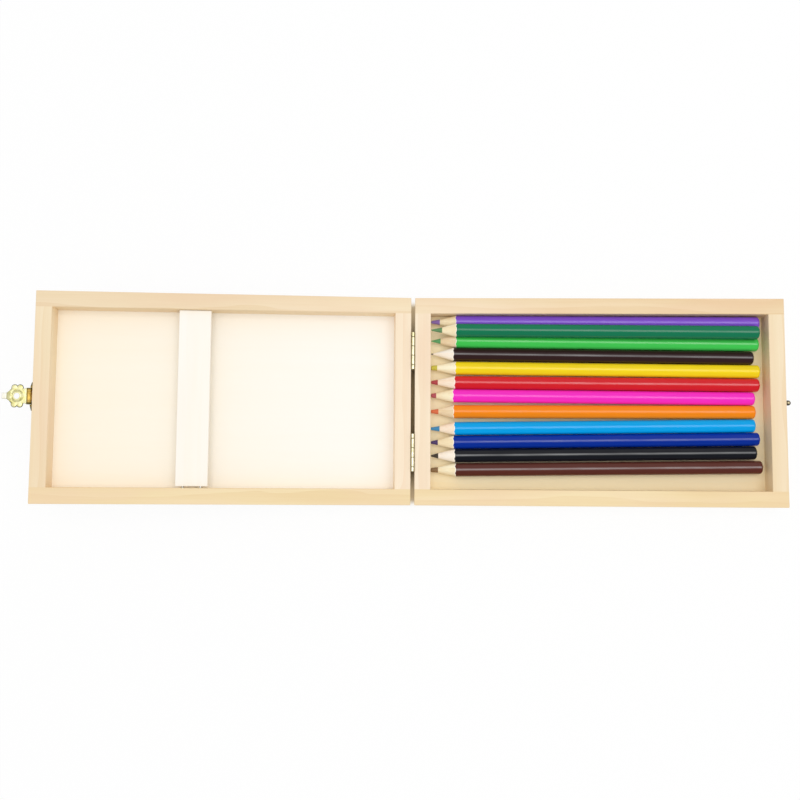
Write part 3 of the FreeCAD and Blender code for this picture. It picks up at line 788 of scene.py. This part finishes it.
def sharpener(start, end, radius, slope):
    """A long cone along X that widens at the sharpener's slope."""
    return cone_along(start, end, radius, radius + (end - start) * slope, CONE_SEGMENTS)


def intersected(bar, cutter, bar_material, cutter_material):
    """What a bar and a cutter share, as a mesh, with the cutter's material where it cut."""
    piece = mesh_object("bar", bar, [bar_material])
    tool = mesh_object("cutter", cutter, [cutter_material])
    cut = piece.modifiers.new("cut", "BOOLEAN")
    cut.operation, cut.object, cut.solver, cut.material_mode = "INTERSECT", tool, "EXACT", "TRANSFER"
    shared = bpy.data.meshes.new_from_object(piece.evaluated_get(bpy.context.evaluated_depsgraph_get()))
    for spare in (piece, tool):
        bpy.data.objects.remove(spare)
    return shared


def gathered(name, meshes):
    """One object from several meshes, keeping each one's materials."""
    bm = bmesh.new()
    materials = []
    for mesh in meshes:
        start = len(bm.faces)
        bm.from_mesh(mesh)
        bm.faces.ensure_lookup_table()
        for face in bm.faces[start:]:
            face.material_index += len(materials)
        materials += list(mesh.materials)
    return mesh_object(name, bm, materials)


def gloss_at(p):
    """How glossy the lacquer is round a bar along X: most on the ridges, little on the flats."""
    turn = math.degrees(math.atan2(p.y, p.z))
    off = min(turn % RIDGE_EVERY, -turn % RIDGE_EVERY)
    on_flat = UPPER_GLOSS if 0 < turn < 180 else LOWER_GLOSS
    share = min(1.0, max(0.0, (RIDGE_HALF_ANGLE - off) / (RIDGE_HALF_ANGLE - FULL_GLOSS_ANGLE)))
    return on_flat + (1 - on_flat) * share


def place_along(facts):
    """From a pencil along X with its nib at the origin to its place in the tray."""
    along = facts["along"]
    up = (Vector((0, 0, 1)) - along * along.z).normalized()
    side = up.cross(along)
    turn = Matrix((along, side, up)).transposed()
    return Matrix.Translation(facts["nib"]) @ turn.to_4x4()


def barrel(name, paint, primer, wood):
    """The painted bar and the bare one, both cut by the sharpener, in the pencil's place."""
    facts = pencil_facts[name]
    start, end, slope = facts["wood_start"], facts["length"], facts["slope"]
    small = facts["wood_radius"] - slope * CONE_BEFORE
    bar = hex_bar(start, end, PENCIL_FLATS, END_ROUND)
    blade = sharpener(start - CONE_BEFORE, end + CONE_PAST, small, slope)
    painted = intersected(bar, blade, paint, primer)
    core_end = facts["paint_start"] + CORE_PAST_PAINT
    core = hex_bar(start, core_end, PENCIL_FLATS - 2 * PRIMER, 0)
    blade = sharpener(start - CONE_BEFORE, core_end + CONE_PAST, small + WOOD_PROUD, slope)
    piece = gathered(f"pencil_{name}", [painted, intersected(core, blade, wood, wood)])
    mark(piece.data, "gloss", gloss_at)
    piece.data.transform(place_along(facts))
    shade(piece)
    even = piece.modifiers.new("flats_stay_flat", "WEIGHTED_NORMAL")
    even.keep_sharp = True
    return piece

# %% [markdown]
# ## Lacquer, bare wood and wax
# The lacquer is thick and glossy on the ridges, where it catches the lamp as a thin
# bright line that wanders a little, and duller on the flats, which hands and pencil trays
# have rubbed. So the paint itself is soft, and a clear coat over it is strong only near a
# ridge. The bare cone is freshly cut wood with a stronger figure than the rails. The lead is
# waxy and scuffed, and it is duller than the paint.

# %% Pencil materials
BLACK = (0, 0, 0, 1)
RUN_SQUEEZE, RUN_SCALE, RUN_RANGE, GLOSS_WAVER = (0.12, 1, 1), 520, (0.3, 0.7), (0.7, 1.25)
SPECK_SCALE, SPECK_DETAIL, SPECK_RANGE, SPECK_RELIEF = 2600, 3, (0.3, 0.75), 0.12
LACQUER_ROUGHNESS, LACQUER_RELIEF, SHADE_SHARE = (0.3, 0.42), 0.02 * MM, 0.93
SCUFF_SQUEEZE, SCUFF_SCALE, SCUFF_DETAIL, SCUFF_RANGE = (1, 0.4, 0.4), 2200, 4, (0.3, 0.7)
SCUFF_DARKER, SCUFF_PALER = 0.25, 0.08
WAX_ROUGHNESS, WAX_RELIEF = (0.4, 0.6), 0.04 * MM

lacquer, told, given = new_group(
    "dipped_lacquer",
    [("Vector", "Vector", (0, 0, 0)), ("Color", "Color", WHITE), ("Shade", "Color", WHITE),
     ("Gloss", "Float", 0.0), ("Strength", "Float", 1.0)],
    [("Color", "Color"), ("Height", "Float"), ("Roughness", "Float"), ("Gloss", "Float")],
)
runs = noise(lacquer, told["Vector"], RUN_SQUEEZE, RUN_SCALE)
specks = noise(lacquer, told["Vector"], UNSQUEEZED, SPECK_SCALE, SPECK_DETAIL)
feed(lacquer, given["Color"], tinted(lacquer, runs, told["Color"], told["Shade"]))
feed(lacquer, given["Height"], plus_share(lacquer, runs, specks, SPECK_RELIEF))
feed(lacquer, given["Roughness"], ramp(lacquer, specks, *SPECK_RANGE, *LACQUER_ROUGHNESS))
gloss = maths(lacquer, "MULTIPLY", told["Gloss"], ramp(lacquer, runs, *RUN_RANGE, *GLOSS_WAVER))
feed(lacquer, given["Gloss"], maths(lacquer, "MULTIPLY", gloss, told["Strength"]))

wax, told, given = new_group(
    "scuffed_wax",
    [("Vector", "Vector", (0, 0, 0)), ("Color", "Color", WHITE)],
    [("Color", "Color"), ("Height", "Float"), ("Roughness", "Float")],
)
scuffs = noise(wax, told["Vector"], SCUFF_SQUEEZE, SCUFF_SCALE, SCUFF_DETAIL)
dark = tinted(wax, SCUFF_DARKER, told["Color"], BLACK)
pale = tinted(wax, SCUFF_PALER, told["Color"], WHITE)
feed(wax, given["Color"], tinted(wax, scuffs, dark, pale))
feed(wax, given["Height"], scuffs)
feed(wax, given["Roughness"], ramp(wax, scuffs, *SCUFF_RANGE, *WAX_ROUGHNESS))

# The paint's screen colour and how strong its gloss is, then the lead's screen colour
PENCIL_LOOKS = {
    "violet": ((142, 92, 224), 0.45, (146, 108, 194)),
    "dark_green": ((20, 122, 84), 0.42, (92, 146, 86)),
    "light_green": ((68, 208, 86), 0.55, (86, 172, 100)),
    "aubergine": ((48, 27, 28), 0.65, (44, 20, 22)),
    "yellow": ((255, 224, 30), 0.35, (216, 204, 56)),
    "red": ((219, 32, 42), 0.65, (190, 54, 64)),
    "pink": ((255, 48, 204), 0.4, (190, 74, 88)),
    "orange": ((255, 142, 22), 0.35, (236, 112, 58)),
    "light_blue": ((0, 169, 242), 0.32, (40, 146, 204)),
    "dark_blue": ((0, 46, 156), 0.45, (68, 38, 110)),
    "black": ((18, 20, 27), 0.65, (48, 36, 14)),
    "brown": ((92, 44, 35), 0.75, (140, 104, 58)),
}


def paint_material(name):
    material, tree, shader = new_material(f"lacquer_{name}")
    colour, strength, _ = PENCIL_LOOKS[name]
    deeper = tone(*[channel * SHADE_SHARE for channel in colour])
    skin = {
        "Vector": object_space(tree), "Color": tone(*colour), "Shade": deeper,
        "Gloss": kept_value(tree, "gloss"), "Strength": strength,
    }
    coated = dress(tree, shader, lacquer, skin, LACQUER_RELIEF)
    feed(tree, shader.inputs["Coat Weight"], coated.outputs["Gloss"])
    for key, value in (("Specular IOR Level", 0.06), ("Coat Roughness", 0.1), ("Coat IOR", 1.9)):
        feed(tree, shader.inputs[key], value)
    return material


def wax_material(name):
    material, tree, shader = new_material(f"lead_{name}")
    colour = tone(*PENCIL_LOOKS[name][2])
    dress(tree, shader, wax, {"Vector": object_space(tree), "Color": colour}, WAX_RELIEF)
    feed(tree, shader.inputs["Specular IOR Level"], 0.2)
    return material


PRIMER_FIGURE = {"bands": 0.3, "lines": 0.0, "fibres": 0.3, "warmth": 0.0}
primer = wood_material("primer_line", "shaving", "frost", False, False, **PRIMER_FIGURE)
CONE_TONES = {
    "fresh": ("shaving", "frost", ["aubergine", "black"]),
    "creamy": ("butter", "vanilla", ["violet", "dark_green", "yellow", "pink", "dark_blue", "brown"]),
    "rosy": ("peach", "shaving", ["red", "light_blue"]),
    "tan": ("sand", "cream", ["light_green", "orange"]),
}
CONE_FIGURE = {"bands": 1.4, "lines": 0.9, "fibres": 1.4, "warmth": 0.15}
for kind, (deep, pale, names) in CONE_TONES.items():
    wood = wood_material(f"cone_wood_{kind}", deep, pale, False, False, **CONE_FIGURE)
    for name in names:
        piece = barrel(name, paint_material(name), primer, wood)
        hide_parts(f"pencil_{name}_barrel")
        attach(piece, f"pencil_{name}")
        finish_solid(f"pencil_{name}_lead", wax_material(name))
print("pencils:", len(PENCILS))

# %% [markdown]
# ## The hasp's flap
# The flap is a flower stamped from thin brass: a disc with a hole for the stud, two
# petals on each side, a pointed tip and a small tab to lift it by. Stamping presses the
# petals up into low domes and leaves a ring of beads round the hole. Each round form is a
# profile spun about its own middle, the straight ones are outlines pulled up to the
# sheet's thickness, and they stand at slightly different heights, so that the creases
# between them come by themselves. The cut edge is left dark, which is what draws the
# flower's outline.

# %% Stamped flap
SHEET_LOW, SHEET_HIGH, SHEET_STEP = 0.85, 1.2, 0.03
MERGE = 0.0005 * MM
HASP_CREASE = 50
FORM_STEPS, DISC_STEPS = 40, 64
HOLE_REACH = 5.9
DISC_PROFILE = [(1.55, 0.85), (1.55, 1.25), (1.7, 1.34), (1.95, 1.34), (2.15, 1.24), (2.3, 1.18),
                (3.15, 1.18), (3.35, 1.28), (4.0, 1.22), (4.4, 1.08), (4.6, 0.85)]
PETAL_PROFILE = [(0, 0.85), (0, 1.3), (0.8, 1.27), (1.3, 1.19), (1.58, 1.04), (1.7, 0.85)]
PETAL_REACHES, PETAL_OUT = (7.05, 4.3), 4.25
BEADS, BEAD_RADIUS, BEAD_RING, BEAD_HEIGHT = 14, 0.26, 2.75, 1.2
NECK, NECK_EDGE = [(0.9, 4.1), (1.4, 4.0), (2.1, 3.75), (2.9, 4.1), (3.6, 4.3)], 0.2
TIP, TIP_EDGE = [(8.0, 3.8), (11.1, 1.5)], 0.3
TAB, TAB_EDGE = [(8.0, 1.5), (13.2, 1.5), (13.4, 1.3)], 0.12
NECK_START, TIP_END = NECK[0][0] * MM, TIP[-1][0] * MM
BARREL_RADIUS, BARREL_HALF, BARREL_MIDDLE_HALF = 1.35 * MM, 4.2 * MM, 2.15 * MM
BARREL_GAP, BARREL_RIM = 0.05 * MM, 0.15 * MM
BARREL_DARK_SHARE, BARREL_DARKENING_SHARE = 0.72, 0.22
# How much darker the hollows between the beads and the tip are
HOLLOW_FROM, HOLLOW_TO, HOLLOW_TOP, HOLLOW_DARKENING = 2.25 * MM, 3.2 * MM, 1.3 * MM, 0.34
CUT_EDGE_TOP, CUT_EDGE_DEPTH = 1.19 * MM, 0.13 * MM
DULL_FROM, DULL_TO, TIP_DARKENING = 8.6 * MM, 11.2 * MM, 0.35


def spun_form(bm, profile, reach, out, steps=FORM_STEPS):
    """A profile of radius and height, in millimetres, spun about an upright line."""
    middle = Vector((-reach, out, 0)) * MM
    ring = [bm.verts.new(middle + Vector((radius, 0, height)) * MM) for radius, height in profile]
    edges = [bm.edges.new(pair) for pair in zip(ring, ring[1:] + ring[:1])]
    bmesh.ops.spin(
        bm, geom=ring + edges, cent=middle, axis=(0, 0, 1), angle=math.tau, steps=steps, use_merge=True
    )


def pulled_up(bm, loop, low, high):
    """An outline of reach and out, in millimetres, pulled up to a block; gives its upper vertices."""
    face = bm.faces.new([bm.verts.new(Vector((-reach, out, low)) * MM) for reach, out in loop])
    pulled = bmesh.ops.extrude_face_region(bm, geom=[face])["geom"]
    risen = [item for item in pulled if isinstance(item, bmesh.types.BMVert)]
    bmesh.ops.translate(bm, verts=risen, vec=(0, 0, (high - low) * MM))
    return risen


def round_top(bm, risen, edge):
    """Softens the rim round a block's upper vertices."""
    rim = [e for e in edges_of(risen) if all(v in risen for v in e.verts)]
    round_edges(bm, rim, edge * MM, 2)


def cut_outline(bm, points, low, high, edge):
    """Half an outline, mirrored about the middle line and pulled up, with a softened rim."""
    loop = [(reach, -out) for reach, out in points] + [(reach, out) for reach, out in reversed(points)]
    round_top(bm, pulled_up(bm, loop, low, high), edge)


bm = bmesh.new()
spun_form(bm, DISC_PROFILE, HOLE_REACH, 0, DISC_STEPS)
for reach in PETAL_REACHES:
    for side in (-1, 1):
        spun_form(bm, PETAL_PROFILE, reach, side * PETAL_OUT)
bmesh.ops.remove_doubles(bm, verts=bm.verts, dist=MERGE)
cut_outline(bm, NECK, SHEET_LOW, SHEET_HIGH, NECK_EDGE)
cut_outline(bm, TIP, SHEET_LOW, SHEET_HIGH + SHEET_STEP, TIP_EDGE)
cut_outline(bm, TAB, SHEET_LOW, SHEET_HIGH - SHEET_STEP, TAB_EDGE)
for number in range(BEADS):
    around = math.tau * number / BEADS
    beside, out = BEAD_RING * math.cos(around), BEAD_RING * math.sin(around)
    place = Matrix.Translation(Vector((-HOLE_REACH + beside, out, BEAD_HEIGHT)) * MM)
    bmesh.ops.create_icosphere(bm, subdivisions=2, radius=BEAD_RADIUS * MM, matrix=place)
for side in (-1, 1):
    ends = sorted((side * (BARREL_MIDDLE_HALF + BARREL_GAP), side * BARREL_HALF))
    knuckle(bm, BARREL_RADIUS, *ends, BARREL_RIM)
for face in bm.faces:
    face_middle = face.calc_center_median()
    if face_middle.x > -NECK_START or face_middle.z < SHEET_LOW * MM - CLOSE:
        face.material_index = 1
    elif face_middle.x < -TIP_END:
        face.material_index = 2
bmesh.ops.recalc_face_normals(bm, faces=bm.faces)
flap = mesh_object("hasp_flower", bm, [stamped_brass, shaded_brass, rubbed_brass_painted_highlight])


def flap_darkening(p):
    """Dark cut edges, hollows between the beads, a dull tip and dark ends on the barrel."""
    if p.x > -NECK_START:
        return (abs(p.y) - BARREL_DARK_SHARE * BARREL_HALF) / (BARREL_DARKENING_SHARE * BARREL_HALF)
    from_hole = (Vector((p.x, p.y)) - Vector((-HOLE_REACH * MM, 0))).length
    if HOLLOW_FROM < from_hole < HOLLOW_TO and p.z < HOLLOW_TOP:
        return HOLLOW_DARKENING
    tip = TIP_DARKENING if DULL_FROM < -p.x < DULL_TO else 0
    return max((CUT_EDGE_TOP - p.z) / CUT_EDGE_DEPTH, tip)


mark(flap.data, "tarnish_and_shade", flap_darkening)
hasp_place = Matrix.Translation(joints["hasp_turn"]["pos_m"]) @ LAID_BACK.to_4x4()
flap.data.transform(hasp_place)
shade(flap, HASP_CREASE)
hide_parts("hasp_flap")
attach(flap, "hasp_flap")
print("flap:", len(flap.data.polygons), "faces")

# %% [markdown]
# ## The hasp's mounting plate
# The plate that holds the flap is nailed to the lid's end. It is the same kind of
# stamping: an ear on each side with a pressed ring round its nail, two round feet, and
# shoulders that swell out from the wood beside the barrel. It is made lying down with the
# flap's own helpers, then stood up against the wood. Its middle knuckle fills the space
# between the flap's two.

# %% Mounting plate
WOOD_OUT, PLATE_THICK = 1.75, 0.6
EAR_REACH, EAR_OUT = 3.5, 5.3
EAR_PROFILE = [(0, 0), (0, 0.6), (1.25, 0.6), (1.5, 0.95), (1.75, 1.0), (2.1, 0.75), (2.4, 0.35), (2.4, 0)]
FOOT_REACH, FOOT_OUT = 7.0, 2.6
FOOT_PROFILE = [(0, 0), (0, 0.95), (0.7, 0.9), (1.2, 0.7), (1.6, 0.4), (1.8, 0)]
PLATE, PLATE_EDGE = [(1.0, 4.2), (7.0, 4.2)], 0.15
SHOULDERS = [(-0.4, 4.45), (0.7, 5.9), (1.9, 7.4), (3.4, 7.5), (3.4, 3.0), (1.2, 3.0), (1.2, 4.45)]
SHOULDER_HEIGHT, SHOULDER_EDGE = 1.35, 0.2
SHOULDER_LOW_PAST, SHOULDER_DROP = 3 * MM, 0.85 * MM
STRAP_FROM, STRAP_LOW, STRAP_HIGH = 0.3 * MM, -1.2 * MM, -0.1 * MM
MIDDLE_RIM = 0.12 * MM
PLATE_DARK_FROM, PLATE_DARKENING = 4.2 * MM, 0.8 * MM

bm = bmesh.new()
for side in (-1, 1):
    spun_form(bm, EAR_PROFILE, EAR_REACH, side * EAR_OUT)
    spun_form(bm, FOOT_PROFILE, FOOT_REACH, side * FOOT_OUT)
bmesh.ops.remove_doubles(bm, verts=bm.verts, dist=MERGE)
cut_outline(bm, PLATE, 0, PLATE_THICK, PLATE_EDGE)
for side in (-1, 1):
    risen = pulled_up(bm, [(reach, side * out) for reach, out in SHOULDERS], 0, SHOULDER_HEIGHT)
    low_end = [v for v in risen if v.co.x < -SHOULDER_LOW_PAST]
    bmesh.ops.translate(bm, verts=low_end, vec=(0, 0, -SHOULDER_DROP))
    round_top(bm, risen, SHOULDER_EDGE)
bmesh.ops.rotate(bm, verts=bm.verts, matrix=Matrix.Rotation(math.radians(-90), 3, "Y"))
bmesh.ops.translate(bm, verts=bm.verts, vec=(WOOD_OUT * MM, 0, 0))
strap_low = (STRAP_FROM, -BARREL_MIDDLE_HALF, STRAP_LOW)
slab(bm, strap_low, (WOOD_OUT * MM, BARREL_MIDDLE_HALF, STRAP_HIGH), STRAP_EDGE)
knuckle(bm, BARREL_RADIUS, -BARREL_MIDDLE_HALF + BARREL_GAP, BARREL_MIDDLE_HALF - BARREL_GAP, MIDDLE_RIM)
bmesh.ops.recalc_face_normals(bm, faces=bm.faces)
plate = mesh_object("hasp_mount", bm, [shaded_brass])
# The plate gets darker towards its ends
mark(plate.data, "tarnish_and_shade", lambda p: (abs(p.y) - PLATE_DARK_FROM) / PLATE_DARKENING)
plate.data.transform(hasp_place)
shade(plate, HASP_CREASE)
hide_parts("hasp_plate")
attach(plate, "lid")
print("plate:", len(plate.data.polygons), "faces")
